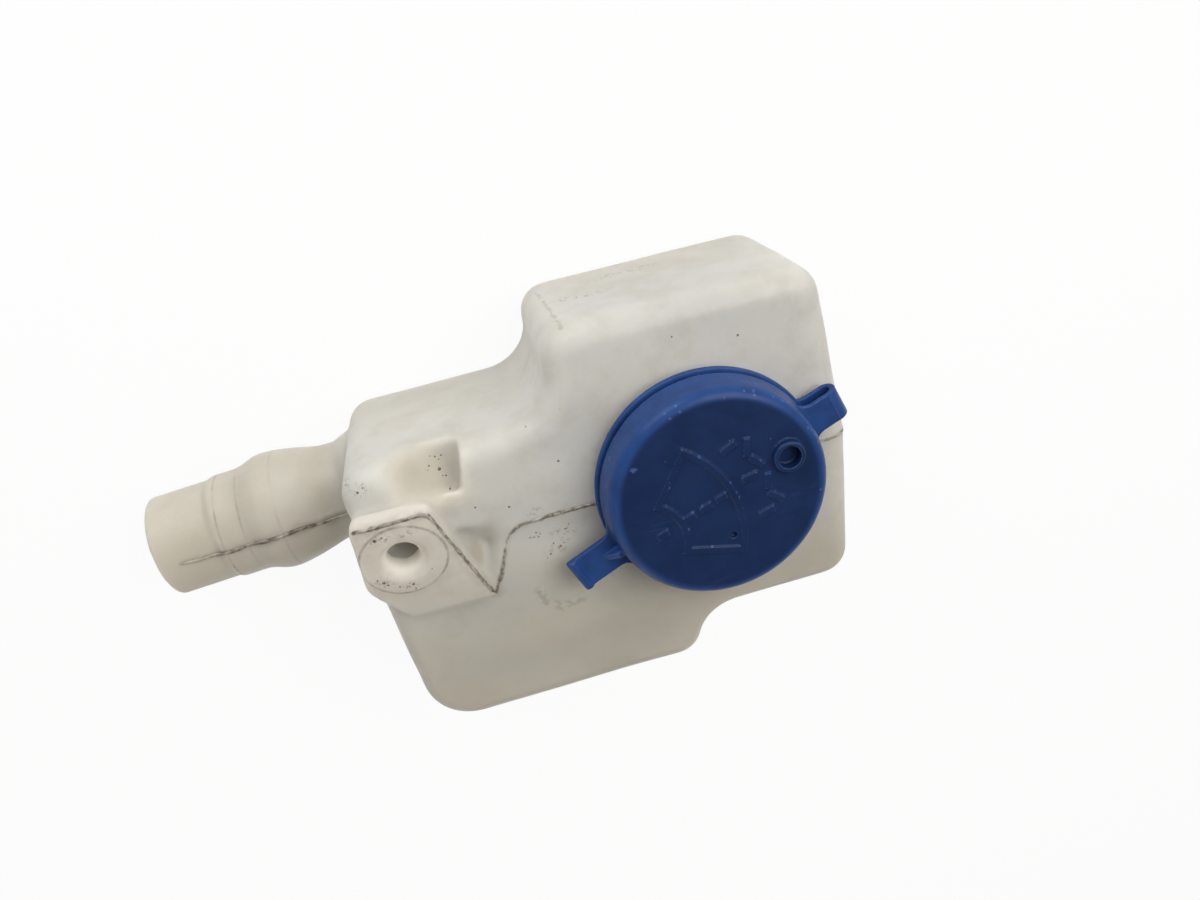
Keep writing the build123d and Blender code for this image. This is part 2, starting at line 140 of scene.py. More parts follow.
def with_modifier(piece, kind, **settings):
    """Applies one modifier to the piece's mesh"""
    modifier = piece.modifiers.new(kind.lower(), kind)
    for key, value in settings.items():
        setattr(modifier, key, value)
    depsgraph = bpy.context.evaluated_depsgraph_get()
    mesh = bpy.data.meshes.new_from_object(piece.evaluated_get(depsgraph))
    piece.modifiers.clear()
    piece.data = mesh


def copy_of_node(node, name, extra=()):
    """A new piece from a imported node's mesh, with extra closed meshes beside it"""
    source = frame["nodes"][node].data
    points = [vertex.co for vertex in source.vertices]
    faces = [tuple(face.vertices) for face in source.polygons]
    for more_points, more_faces in extra:
        first = len(points)
        points += more_points
        faces += [tuple(first + i for i in face) for face in more_faces]
    return mesh_object(name, points, faces)


def voxelled(piece, voxel):
    """One even skin over everything in the piece"""
    with_modifier(piece, "WELD", merge_threshold=WELD_DISTANCE)
    with_modifier(piece, "REMESH", mode="VOXEL", voxel_size=voxel, use_smooth_shade=True)


def thinned(piece, most):
    """Fewer triangles where the skin is flat"""
    count = triangle_count(piece.data)
    if count > most:
        with_modifier(piece, "DECIMATE", ratio=most / count)
    for face in piece.data.polygons:
        face.use_smooth = True


def ramp(values, low, high):
    """0 below low, 1 above high, smooth between"""
    t = np.clip((values - low) / (high - low), 0, 1)
    return t * t * (3 - 2 * t)


def ramp_mm(values, span):
    """The same for lengths, between two lengths in MM"""
    low, high = span
    return ramp(values, low * MM, high * MM)


def averaged(points, ends, share, rounds):
    """Moves each point a share of the way to the mean of its neighbours, some rounds over"""
    a, b = ends
    count = len(points)
    degree = np.bincount(a, minlength=count) + np.bincount(b, minlength=count)
    degree = np.maximum(degree, 1)[:, None]
    for _ in range(rounds):
        total = np.empty_like(points)
        for axis in range(3):
            total[:, axis] = np.bincount(a, weights=points[b, axis], minlength=count)
            total[:, axis] += np.bincount(b, weights=points[a, axis], minlength=count)
        points += share * (total / degree - points)
    return points


def relaxed(mesh, share, rounds):
    """Smooths the whole mesh, by one share or by one for each vertex"""
    set_coordinates(mesh, averaged(coordinates(mesh), edge_ends(mesh), share, rounds))


def tube_faces(sections, rows, turned=False):
    """Quads between sections of so many points each, with the first and last section closed"""
    faces = []
    for i in range(sections - 1):
        for k in range(rows):
            a = i * rows + k
            b = i * rows + (k + 1) % rows
            faces.append((a, a + rows, b + rows, b) if turned else (a, b, b + rows, a + rows))
    first = tuple(range(rows))
    last = tuple((sections - 1) * rows + k for k in range(rows))
    faces += [first, last[::-1]] if turned else [first[::-1], last]
    return faces


# Tank skin

TANK_VOXEL = 0.6 * MM
TANK_TRIANGLES = 170000

# Where the solid is sharp: radius and height of the neck's wall, distance out of the pipe's
# mouth, distance from the middle of the lug's hole and place along X of the pipe, in MM.
# The skin turns crisp between the two numbers, or soft again
NECK_RADIUS = (28, 32)
NECK_FOOT = (60, 63)
MOUTH_START = (-14, -6)
HOLE_REACH = (8, 12)
PIPE_START = (-100, -94)
PIPE_CRISPNESS = 0.85

# Shares of the smoothing on soft and on crisp places, and its rounds
SOFTNESS = 0.55
LEAST_SOFTNESS = 0.02
TANK_ROUNDS = 14

# The moulding's waviness, full at a softness and none at the crisp places and the base rim
WAVE_DEPTH = 0.35 * MM
WAVE_LENGTH = 34 * MM
WAVE_SEED = 4
WAVES = 7
WAVE_STRETCH = (0.6, 1.7)
WAVE_SUM = 3.2
WAVY_SOFTNESS = 0.57
BASE_RIM = (1, 4)

# Edges that the blown wall didn't fill: middle and reach in MM, and rounds of smoothing
SOFT_CORNERS = (
    ((-75.5, 18.0, 57.5), 11.0, 140),
    ((-75.0, 12.5, 60.5), 9.0, 60),
    ((-59.0, -1.0, 62.0), 6.0, 60),
)
CORNER_SOFTNESS = 0.8
CORNER_FADE = (0.45, 0.95)


def relaxed_near(mesh, centre, reach, rounds):
    """Smooths the mesh about a centre, fading out towards its reach"""
    points = coordinates(mesh)
    distance = np.linalg.norm(points - centre, axis=1)
    chosen = np.nonzero(distance < reach)[0]
    place = np.full(len(points), -1)
    place[chosen] = np.arange(len(chosen))
    ends = place[edge_ends(mesh)]
    ends = ends[:, (ends >= 0).all(axis=0)]
    start, end = CORNER_FADE
    share = CORNER_SOFTNESS * (1 - ramp(distance[chosen], start * reach, end * reach))[:, None]
    points[chosen] = averaged(points[chosen], ends, share, rounds)
    set_coordinates(mesh, points)


def wave(points, length, seed):
    """Smooth swell of about -1 to 1 from a few crossing sine waves"""
    random = np.random.default_rng(seed)
    total = np.zeros(len(points))
    for _ in range(WAVES):
        direction = random.normal(size=3)
        direction /= np.linalg.norm(direction)
        stretch = random.uniform(*WAVE_STRETCH)
        phase = random.uniform(0, 2 * pi)
        total += np.sin(2 * pi * stretch / length * (points @ direction) + phase)
    return total / WAVE_SUM


def tank_softness(points):
    """How far each point is smoothed: little at the neck, lug hole and pipe"""
    neck = 1 - ramp_mm(np.hypot(points[:, 0], points[:, 1]), NECK_RADIUS)
    neck *= ramp_mm(points[:, 2], NECK_FOOT)
    mouth = ramp_mm((points - np.array(PIPE_MIDDLE)) @ np.array(PIPE_OUT), MOUTH_START)
    hole = 1 - ramp_mm(np.linalg.norm(points - np.array(LUG_HOLE), axis=1), HOLE_REACH)
    pipe = 1 - ramp_mm(points[:, 0], PIPE_START)
    crisp = np.maximum.reduce([neck, mouth, hole, PIPE_CRISPNESS * pipe])
    return SOFTNESS * (1 - crisp) + LEAST_SOFTNESS


def waviness(points):
    """How far the skin sinks in at each point"""
    sink = 0.5 + 0.5 * np.clip(wave(points, WAVE_LENGTH, WAVE_SEED), -1, 1)
    depth = WAVE_DEPTH * sink * np.clip(tank_softness(points) / WAVY_SOFTNESS, 0, 1)
    depth *= ramp_mm(points[:, 2], BASE_RIM)
    return depth


def make_tank():
    """The tank's skin, with soft edges and a slight waviness"""
    tank = copy_of_node("tank_shell", "tank_skin")
    voxelled(tank, TANK_VOXEL)
    relaxed(tank.data, tank_softness(coordinates(tank.data))[:, None], TANK_ROUNDS)
    for corner, reach, rounds in SOFT_CORNERS:
        relaxed_near(tank.data, np.array(corner) * MM, reach * MM, rounds)
    points = coordinates(tank.data)
    sunk = normals_of(tank.data) * waviness(points)[:, None]
    set_coordinates(tank.data, points - sunk)
    thinned(tank, TANK_TRIANGLES)
    return tank


# Mould flash

FLASH_WIDTH = 0.9 * MM
FLASH_RISE = 0.32 * MM
FLASH_STEP = 0.7 * MM
FLASH_ROUNDS = 6

# The ridge's section: places across in half widths, and the height of its two shoulders
FLASH_ACROSS = (-1, -0.45, 0, 0.45, 1)
FLASH_SHOULDER = 0.8
FLASH_SINK = 0.15 * MM

# Its unevenness: a level, then lengths with shares, and what that does to width and height
FLASH_LEVEL = 0.6
FLASH_LUMPS = ((2.2 * MM, 0.55), (0.9 * MM, 0.35))
FLASH_BREADTH = (0.75, 0.4)
FLASH_LEAST = 0.12
FLASH_WANDER = 0.22 * MM
WANDER_LENGTH = 3.1 * MM
WANDER_OFFSET = Vector((7, 3, 1))
FLASH_TAPER = 4

# The lug's face above the middle of the bolt hole
LUG_FACE_RISE = 4.0 * MM


def line_of(*points):
    """A line through points in MM"""
    return [Vector(point) * MM for point in points]


def lug_line_of(*points):
    """A line on the lug's face through places beside the bolt hole, in MM"""
    middle = LUG_HOLE + LUG_AXIS * LUG_FACE_RISE
    across = Vector((0, LUG_AXIS.z, -LUG_AXIS.y))
    return [middle + Vector((x * MM, 0, 0)) + across * y * MM for x, y in points]


TOP_LINE = line_of(
    (-62.4, -18.6, 62.9), (-59.4, -12.9, 63.2), (-57.2, -6.7, 63.6), (-56.1, -3.9, 63.8),
    (-55.0, -2.4, 63.9), (-52.8, -0.9, 64.0), (-49.5, -0.2, 64.0), (-42.0, 0.0, 64.0),
    (-29.0, 0.0, 64.0),
)
RIGHT_LINE = line_of(
    (29.0, 0.0, 64.0), (37.0, 0.0, 64.0), (41.0, 0.0, 61.0), (42.0, 0.0, 55.0),
    (42.0, 0.0, 8.0), (38.0, 0.0, 1.0),
)
PIPE_LINE = line_of(
    (-147.0, 0.4, 33.7), (-141.9, 0.1, 33.6), (-135.0, 0.4, 33.9), (-130.2, 0.5, 34.3),
    (-120.9, 1.7, 36.3), (-112.3, 2.0, 35.8), (-104.1, 1.1, 33.9), (-97.0, 1.6, 33.6),
)
LUG_LINE = lug_line_of(
    (-9.6, 12.8), (-1.6, 12.8), (8.2, 12.8), (9.8, 11.8), (12.2, 4.9), (15.6, -5.7), (19.4, -19.5),
)

# Piece, its line, and its width and rise as shares of the usual ones
FLASH_PIECES = (
    ("flash_top", TOP_LINE, 1.0, 1.0),
    ("flash_right", RIGHT_LINE, 1.0, 0.8),
    ("flash_pipe", PIPE_LINE, 1.3, 1.5),
    ("flash_lug", LUG_LINE, 1.0, 1.0),
)


def resampled(points, step):
    """Points about a step apart along the straight runs between the given ones"""
    found = [points[0]]
    for a, b in zip(points, points[1:]):
        count = max(1, round((b - a).length / step))
        found += [a.lerp(b, i / count) for i in range(1, count + 1)]
    return found


def softened(points, rounds):
    """Rounds off the corners of a line, its ends kept"""
    for _ in range(rounds):
        inner = [(a + 2 * b + c) / 4 for a, b, c in zip(points, points[1:], points[2:])]
        points = [points[0], *inner, points[-1]]
    return points


def skin_of(piece):
    """Finds the nearest place on a piece, and the normal there"""
    return BVHTree.FromPolygons(
        [vertex.co for vertex in piece.data.vertices],
        [tuple(face.vertices) for face in piece.data.polygons],
    )


def flash_section(place, normal, side, width, rise):
    """The five points of the ridge's section at a place, uneven from place to place"""
    uneven = FLASH_LEVEL
    for length, share in FLASH_LUMPS:
        uneven += share * noise.noise(place / length)
    wander = side * FLASH_WANDER * noise.noise(place / WANDER_LENGTH + WANDER_OFFSET)
    breadth, more_breadth = FLASH_BREADTH
    half = width / 2 * (breadth + more_breadth * uneven)
    top = rise * max(FLASH_LEAST, uneven)
    heights = (-FLASH_SINK, FLASH_SHOULDER * top, top, FLASH_SHOULDER * top, -FLASH_SINK)
    return [
        place + wander + side * half * across + normal * height
        for across, height in zip(FLASH_ACROSS, heights)
    ]


def make_flash(name, line, skin, width, rise):
    """A thin uneven ridge that follows a line over the skin and tapers off at its ends"""
    route = softened(resampled(line, FLASH_STEP), FLASH_ROUNDS)
    spots = [skin.find_nearest(point)[:2] for point in route]
    last = len(spots) - 1
    points = []
    for i, (place, normal) in enumerate(spots):
        before = spots[max(0, i - 1)][0]
        after = spots[min(last, i + 1)][0]
        side = (after - before).cross(normal).normalized()
        taper = min(1, i / FLASH_TAPER, (last - i) / FLASH_TAPER)
        points += flash_section(place, normal, side, width, rise * taper)
    flash = mesh_object(name, points, tube_faces(len(spots), len(FLASH_ACROSS)))
    for face in flash.data.polygons:
        face.use_smooth = True
    return flash


# Cap, ring and strap

CAP_VOXEL = 0.26 * MM
RING_VOXEL = 0.26 * MM
CAP_TRIANGLES = 195000
RING_TRIANGLES = 40000

# Share and rounds of the smoothing
CAP_SOFTNESS = (0.35, 1)
RING_SOFTNESS = (0.4, 2)

STRAP_WIDTH = 8.5 * MM
STRAP_THICKNESS = 1.4 * MM
STUB = 0.6 * MM

# The strap's bend covers its legs by a hair, and has rounded edges
BEND_PROUD = 0.03 * MM
BEND_EDGE = 0.3 * MM
BEND_EDGE_STEPS = 4
BEND_ARCS = 48

# The spigot's closed end, measured from the spigot's rim
SPIGOT_OFFSET = 19.7 * MM
SPIGOT_DEPTH = 3.5 * MM
SPIGOT_FLOOR = 0.8 * MM
SPIGOT_FLOOR_RADIUS = 3.4 * MM
SPIGOT_SIDES = 32


def box_mesh(centre, along, across, up, length, width, height):
    """A closed box in its own directions"""
    points = [
        centre + along * i * length / 2 + across * j * width / 2 + up * k * height / 2
        for i in (-1, 1) for j in (-1, 1) for k in (-1, 1)
    ]
    faces = [(0, 1, 3, 2), (4, 6, 7, 5), (0, 4, 5, 1), (2, 3, 7, 6), (0, 2, 6, 4), (1, 5, 7, 3)]
    return points, faces


def strap_stub(height):
    """Lets a leg of the strap run a little way into the bend"""
    centre = Vector((HINGE_PLACE.x, HINGE_PLACE.y, height))
    return box_mesh(centre, HINGE_OUT, HINGE_AXIS, UP, 2 * STUB, STRAP_WIDTH, STRAP_THICKNESS)


def spigot_floor():
    """A thin floor that closes the spigot's bore at the cap's underside"""
    centre = HINGE_OUT * SPIGOT_OFFSET
    centre.z = CAP_HIGH.z - SPIGOT_DEPTH
    points = []
    for height in (-SPIGOT_FLOOR / 2, SPIGOT_FLOOR / 2):
        for i in range(SPIGOT_SIDES):
            angle = 2 * pi * i / SPIGOT_SIDES
            outward = Vector((cos(angle), sin(angle), 0))
            points.append(centre + outward * SPIGOT_FLOOR_RADIUS + UP * height)
    return points, tube_faces(2, SPIGOT_SIDES)


def make_cap():
    """The cap's skin, with the strap's upper leg"""
    upper = LOOP_HIGH.z - STRAP_THICKNESS / 2
    cap = copy_of_node("filler_cap", "cap_skin", [strap_stub(upper), spigot_floor()])
    voxelled(cap, CAP_VOXEL)
    relaxed(cap.data, *CAP_SOFTNESS)
    thinned(cap, CAP_TRIANGLES)
    return cap


def make_ring():
    """The ring's skin, with the strap's lower leg"""
    lower = LOOP_LOW.z + STRAP_THICKNESS / 2
    ring = copy_of_node("retaining_ring", "ring_skin", [strap_stub(lower)])
    voxelled(ring, RING_VOXEL)
    relaxed(ring.data, *RING_SOFTNESS)
    thinned(ring, RING_TRIANGLES)
    return ring


def strap_section():
    """The strap's rounded outline, as places across it and out of its middle"""
    across = STRAP_WIDTH / 2 + BEND_PROUD - BEND_EDGE
    out = STRAP_THICKNESS / 2 + BEND_PROUD - BEND_EDGE
    section = []
    for corner, (i, j) in enumerate(((1, 1), (-1, 1), (-1, -1), (1, -1))):
        for step in range(BEND_EDGE_STEPS + 1):
            angle = radians(90) * (corner + step / BEND_EDGE_STEPS)
            section.append((i * across + BEND_EDGE * cos(angle), j * out + BEND_EDGE * sin(angle)))
    return section


def make_bend():
    """The strap's bend, in many sections along its arc"""
    section = strap_section()
    radius = (LOOP_HIGH.z - LOOP_LOW.z - STRAP_THICKNESS) / 2
    middle = Vector((HINGE_PLACE.x, HINGE_PLACE.y, (LOOP_LOW.z + LOOP_HIGH.z) / 2))
    points = []
    for i in range(BEND_ARCS + 1):
        angle = -pi / 2 + pi * i / BEND_ARCS
        outward = HINGE_OUT * cos(angle) + UP * sin(angle)
        for across, out in section:
            points.append(middle + HINGE_AXIS * across + outward * (radius + out))
    faces = tube_faces(BEND_ARCS + 1, len(section), turned=True)
    bend = mesh_object("strap_bend", points, faces)
    for face in bend.data.polygons:
        face.use_smooth = len(face.vertices) == 4
    return bend


# Material helpers

# Scratches are stretched clouds: their tilt out of plan, their fineness along, across and in
# depth, and the span of the clouds' values that shows
SCRATCH_TILT = (0.3, 0.2)
SCRATCH_SHAPE = (0.12, 1.6, 0.6)
SCRATCH_SPAN = (0.6, 0.68)


def linear(red, green, blue):
    """A colour given as 0 to 255 screen values"""
    channels = []
    for value in (red, green, blue):
        share = value / 255
        channels.append(share / 12.92 if share <= 0.04045 else ((share + 0.055) / 1.055) ** 2.4)
    return (*channels, 1.0)


class Shader:
    """Short names for the nodes of one material. Lengths are in MM"""

    def __init__(self, name):
        self.material = bpy.data.materials.new(name)
        self.material.use_nodes = True
        self.tree = self.material.node_tree
        self.bsdf = self.tree.nodes["Principled BSDF"]
        place = self.add("ShaderNodeTexCoord").outputs["Object"]
        self.point = self.vector("SCALE", place, scale=1 / MM)

    def add(self, kind, inputs=(), **settings):
        """A new node with its settings, and its inputs as values or links"""
        made = self.tree.nodes.new(kind)
        for key, value in settings.items():
            setattr(made, key, value)
        for key, value in dict(inputs).items():
            self.put(made.inputs[key], value)
        return made

    def put(self, socket, value):
        """Links another node's output to a socket, or sets the socket's own value"""
        if isinstance(value, bpy.types.NodeSocket):
            self.tree.links.new(value, socket)
        else:
            socket.default_value = value

    def surface(self, **values):
        """Values of the surface that are the same all over"""
        for name, value in values.items():
            self.bsdf.inputs[name.replace("_", " ")].default_value = value

    def math(self, operation, a, b=0.0, c=0.0, clamp=False):
        """One step of arithmetic"""
        made = self.add("ShaderNodeMath", {0: a, 1: b, 2: c}, operation=operation, use_clamp=clamp)
        return made.outputs[0]

    def product(self, a, b):
        """One value times another"""
        return self.math("MULTIPLY", a, b)

    def most(self, values):
        """The largest of some values, taken one by one so that few are held at a time"""
        total = None
        for value in values:
            total = value if total is None else self.math("MAXIMUM", total, value)
        return total

    def vector(self, operation, a, b=None, scale=None):
        """One step of vector arithmetic, with a second vector or a scale where it takes one"""
        inputs = {0: a}
        if b is not None:
            inputs[1] = b
        if scale is not None:
            inputs["Scale"] = scale
        made = self.add("ShaderNodeVectorMath", inputs, operation=operation)
        return made.outputs["Value" if operation in ("DOT_PRODUCT", "LENGTH") else "Vector"]

    def span(self, value, low, high, start=0.0, end=1.0):
        """Maps low..high to start..end, smooth and clamped"""
        made = self.add(
            "ShaderNodeMapRange",
            {0: value, 1: low, 2: high, 3: start, 4: end},
            interpolation_type="SMOOTHSTEP",
        )
        return made.outputs[0]

    def noise(self, size, detail=2.0, roughness=0.5, point=None):
        """Cloudy values between 0 and 1, in lumps of about a size"""
        made = self.add("ShaderNodeTexNoise", {
            "Vector": self.point if point is None else point,
            "Scale": 1 / size,
            "Detail": detail,
            "Roughness": roughness,
        })
        return made.outputs[0]

    def pattern(self, clouds, span):
        """Clouds, by the arguments of noise, mapped by those of span"""
        return self.span(self.noise(*clouds), *span)

    def cells(self, size):
        """Distance from the middle of random cells, in cell sizes, and each one's random number"""
        inputs = {"Vector": self.point, "Scale": 1 / size}
        made = self.add("ShaderNodeTexVoronoi", inputs)
        split = self.add("ShaderNodeSeparateColor", {0: made.outputs["Color"]})
        return made.outputs["Distance"], split.outputs[0]

    def wobbled(self, scale, reach):
        """The point, moved about at random by up to half the reach"""
        inputs = {"Vector": self.point, "Scale": scale}
        clouds = self.add("ShaderNodeTexNoise", inputs).outputs[1]
        offset = self.vector("SUBTRACT", clouds, (0.5, 0.5, 0.5))
        return self.vector("ADD", self.point, self.vector("SCALE", offset, scale=reach))

    def mix(self, factor, a, b):
        """Colour a turning to colour b"""
        made = self.add("ShaderNodeMix", data_type="RGBA")
        self.put(made.inputs["Factor"], factor)
        self.put(made.inputs[6], a)
        self.put(made.inputs[7], b)
        return made.outputs[2]

    def ball(self, centre, radius, soft, stretch=None):
        """1 inside a ball, fading over its outer share. A stretch below 1 makes it longer"""
        offset = self.vector("SUBTRACT", self.point, tuple(centre))
        if stretch is not None:
            offset = self.vector("MULTIPLY", offset, stretch)
        distance = self.vector("LENGTH", offset)
        return self.span(distance, radius * (1 - soft), radius, 1.0, 0.0)

    def line_distance(self, line, point):
        """Distance to a line through points given in metres"""
        nearest = None
        for start, end in zip(line, line[1:]):
            a, run = start / MM, (end - start) / MM
            offset = self.vector("SUBTRACT", point, tuple(a))
            share = self.vector("DOT_PRODUCT", offset, tuple(run / run.length_squared))
            share = self.math("ADD", share, 0.0, clamp=True)
            foot = self.vector("SCALE", tuple(run), scale=share)
            distance = self.vector("LENGTH", self.vector("SUBTRACT", offset, foot))
            nearest = distance if nearest is None else self.math("MINIMUM", nearest, distance)
        return nearest

    def scratches(self, degrees, size):
        """Fine parallel scratches at an angle in plan"""
        turned = self.add("ShaderNodeMapping", {
            "Vector": self.point,
            "Rotation": (*SCRATCH_TILT, radians(degrees)),
            "Scale": [share / size for share in SCRATCH_SHAPE],
        }).outputs[0]
        return self.span(self.noise(1.0, 1.0, 0.5, turned), *SCRATCH_SPAN)

    def bump(self, height, strength, distance):
        """Bump over the whole surface"""
        inputs = {"Height": height, "Strength": strength, "Distance": distance * MM}
        made = self.add("ShaderNodeBump", inputs)
        self.put(self.bsdf.inputs["Normal"], made.outputs[0])


# Tank material

MILK = linear(216, 213, 205)
# Darker tint for random age clouds and for the painted shade in places
AGED_AND_SHADED = linear(188, 181, 165)
SHADE = linear(186, 178, 162)
# Lighter colour for the painted glow in the bolt hole
HOLE_GLOW = linear(236, 232, 222)
# Dark colour for grime, and for the painted shade along the lug's line and in the pipe's grooves
GRIME_AND_SHADE = linear(92, 78, 62)
# Brownish colour for the painted soft shadow beside the lug and pipe lines
SOFT_SHADOW_TINT = linear(128, 120, 108)

# Below, a span is a low and a high value with the shares there, and a pattern is the size,
# detail and roughness of clouds with a span over their values

# Painted shade along X on the pipe and along Y on the belly, and a darker tint towards the base along Z
PIPE_SHADE = (-104.0, -90.0, 0.75, 0.0)
BELLY_SHADE = (-45.0, 2.0, 0.95, 0.1)
BASE_DARKENING = (5.0, 60.0, 0.5, 0.0)

# Painted shade in the recess and the pocket beside the lug: middle, radius, soft share and stretch
RECESS_SHADE_BALL = ((-72.0, 16.0, 55.0), 16.0, 0.8)
POCKET_SHADE_BALL = ((-65.0, -6.5, 60.0), 4.6, 0.8, (1.5, 0.7, 1.0))
POCKET_SHADE = 1.5

# The darker tint is a share of the age clouds and of those places, less a share of clean plastic. In those places
# it is painted shade, and near the base a darker tint
AGE_CLOUDS = (26.0, 3.0)
CLOUD_SHARE = 0.55
PLACE_SHARE = 0.8
UNAGED = 0.2
BLOTCHES = ((11.0, 4.0, 0.6), (0.42, 0.72, 0.0, 0.35))

# Painted glow in the bolt hole and on the lug about it, as if lit through the plate, with its middle below the
# mount
HOLE_GLOW_DEPTH = 3 * MM
HOLE_GLOW_RADIUS = 10.0
HOLE_GLOW_SOFT = 0.3

# Grime by its distance from the flash lines, which wobble. Along the lug's line it is grime and
# painted shade of the lug's wall. On the right side only the top stretch has it
WOBBLE_SCALE = 0.35
WOBBLE_REACH = 1.3
LUG_GRIME_AND_SHADE = (0.15, 0.75, 0.95, 0.0)
TOP_GRIME = (0.2, 0.85, 0.95, 0.0)
RIGHT_GRIME = (0.1, 0.7, 0.7, 0.0)
RIGHT_GRIME_LINE = RIGHT_LINE[:3]
PIPE_GRIME = (0.3, 0.95, 0.95, 0.0)
PIPE_GRIME_START = (-146.0, -128.0, 0.25, 1.0)
LINE_BREAKS = ((1.5, 4.0, 0.7), (0.4, 0.58))
BROKEN_SHARES = (0.45, 0.55)

# Grime about the lug's boss: radius, span, and how far above the bolt hole's middle it starts
BOSS_RADIUS = 11.2
BOSS_GRIME = (0.1, 0.55, 0.55, 0.0)
BOSS_START = 1.0
BOSS_BREAKS = ((5.0, 3.0), (0.36, 0.62, 0.3, 1.0))

# Painted shade in the pipe's grooves, as dark rings: place along the pipe, half width and strength
PIPE_GROOVE_SHADE = ((-134.2, 0.5, 0.5), (-127.6, 0.5, 0.28), (-117.0, 0.7, 0.16))
GROOVE_SHADE_CORE = 0.1
GROOVE_SHADE_BREAKS = ((9.0, 2.0), (0.38, 0.62, 0.15, 1.0))

# Painted soft shadow beside the lug's line and the inner part of the pipe's
SOFT_SHADOW_SPAN = (0.4, 3.4, 0.3, 0.0)
SOFT_SHADOW_PIPE_LINE = PIPE_LINE[2:]
SOFT_SHADOW_BREAKS = ((5.0, 3.0), (0.35, 0.65))

# Specks: place and radius. They are longer in height than in plan
SPECKS = (
    ((-68.1, 17.5, 54.8), 0.55), ((-68.4, 20.7, 53.8), 0.3), ((-66.8, 20.6, 53.7), 0.28),
    ((-67.6, 19.8, 54.0), 0.22), ((-70.5, 19.0, 54.4), 0.36), ((-71.0, 18.2, 54.7), 0.3),
    ((-71.6, 18.3, 54.7), 0.3), ((-67.7, 15.7, 55.3), 0.26), ((-66.9, 15.5, 55.4), 0.3),
    ((-66.6, 13.1, 59.0), 0.34), ((-74.7, 16.4, 57.0), 0.3), ((-72.9, 17.5, 55.6), 0.2),
    ((-69.3, 16.6, 55.0), 0.18), ((-69.6, 21.2, 53.7), 0.18), ((-67.5, 25.0, 52.3), 0.32),
    ((-37.6, 14.4, 63.1), 0.42), ((-61.5, 8.0, 63.5), 0.34), ((-53.0, 5.6, 63.7), 0.42),
    ((-43.5, 24.8, 60.1), 0.28), ((15.0, 35.0, 61.8), 0.42), ((-2.0, 39.0, 61.6), 0.3),
    ((-9.0, 44.0, 61.3), 0.3), ((-34.0, 28.0, 62.3), 0.25),
    ((-87.3, 10.2, 71.5), 0.62), ((-85.4, 10.6, 71.6), 0.36), ((-84.4, 9.9, 71.4), 0.26),
    ((-89.1, -3.7, 68.3), 0.6), ((-90.4, -2.4, 68.6), 0.3), ((-88.3, -4.8, 68.0), 0.36),
    ((-85.7, -6.4, 67.7), 0.32), ((-82.2, -6.7, 67.6), 0.44), ((-82.0, -8.4, 67.2), 0.32),
    ((-83.0, -6.1, 67.7), 0.2), ((-76.3, -3.4, 68.4), 0.22), ((-77.4, -1.2, 68.8), 0.2),
    ((-44.2, -8.6, 63.4), 0.3), ((-42.5, -10.0, 63.4), 0.42), ((-41.4, -9.2, 63.4), 0.24),
    ((-45.6, -11.6, 63.3), 0.36), ((-46.7, -12.6, 63.3), 0.26), ((-48.0, -3.9, 63.8), 0.34),
    ((-47.0, -4.6, 63.8), 0.26), ((-47.6, -5.4, 63.8), 0.3), ((-40.2, -5.2, 63.6), 0.3),
    ((-39.0, -4.0, 63.6), 0.26), ((-88.9, 20.0, 62.0), 0.4), ((-87.3, 20.9, 62.0), 0.3),
)
SPECK_SOFT = 0.4
SPECK_STRETCH = (1.0, 1.0, 0.3)
SPECK_BREAKS = ((0.5, 2.0), (0.3, 0.5, 0.45, 0.95))

# Scuffed patches: place, radius and stretch
SCUFFS = (
    ((-47.1, 2.3, 63.9), 3.4, (1.0, 1.5, 1.0)),
    ((-40.7, -6.3, 63.6), 5.2, (0.8, 1.5, 1.0)),
    ((-43.5, -10.5, 63.4), 4.0, (0.8, 1.6, 1.0)),
    ((-48.5, -5.0, 63.8), 2.8, (1.0, 1.3, 1.0)),
    ((-22.0, 48.0, 34.6), 6.0, (0.7, 1.0, 1.6)),
    ((-16.0, 48.0, 35.4), 5.0, (0.7, 1.0, 1.6)),
    ((-6.0, 48.0, 22.0), 9.0, (0.6, 1.0, 2.0)),
    ((-88.5, 20.4, 61.5), 3.6, (0.8, 1.2, 1.0)),
    ((-93.0, 22.0, 58.0), 4.0, (1.0, 1.0, 1.0)),
    ((-89.6, -3.6, 68.2), 4.2, (0.8, 1.3, 1.0)),
    ((-86.4, 10.2, 71.4), 4.4, (0.75, 1.6, 1.0)),
    ((-79.6, 9.8, 71.2), 3.4, (0.8, 1.6, 1.0)),
    ((-83.4, -7.2, 67.5), 3.2, (0.8, 1.4, 1.0)),
)
SCUFF_SOFT = 0.9
SCUFF_SCRATCHES = ((24, 1.1), (-48, 1.3))
RUBBED = ((1.1, 5.0, 0.75), (0.5, 0.62))
SCRATCH_SHARE = 0.8
SMEAR_SHARE = 0.45

# A smear on the belly's top and a rubbed corner of the tower
SMEAR_LINE = line_of(
    (-51.2, -22.7, 62.6), (-50.5, -26.8, 62.4), (-45.7, -29.8, 62.2), (-40.6, -28.8, 62.2),
)
SMEAR = (0.2, 2.4, 0.6, 0.0)
CORNER_LINE = line_of(
    (-30.1, 47.4, 18.7), (-29.3, 47.7, 36.3), (-28.6, 47.6, 50.0), (-28.6, 47.0, 57.0),
)
CORNER_RUB = (0.1, 0.9, 0.6, 0.0)
TRACE_BREAKS = ((1.6, 4.0), (0.42, 0.56))

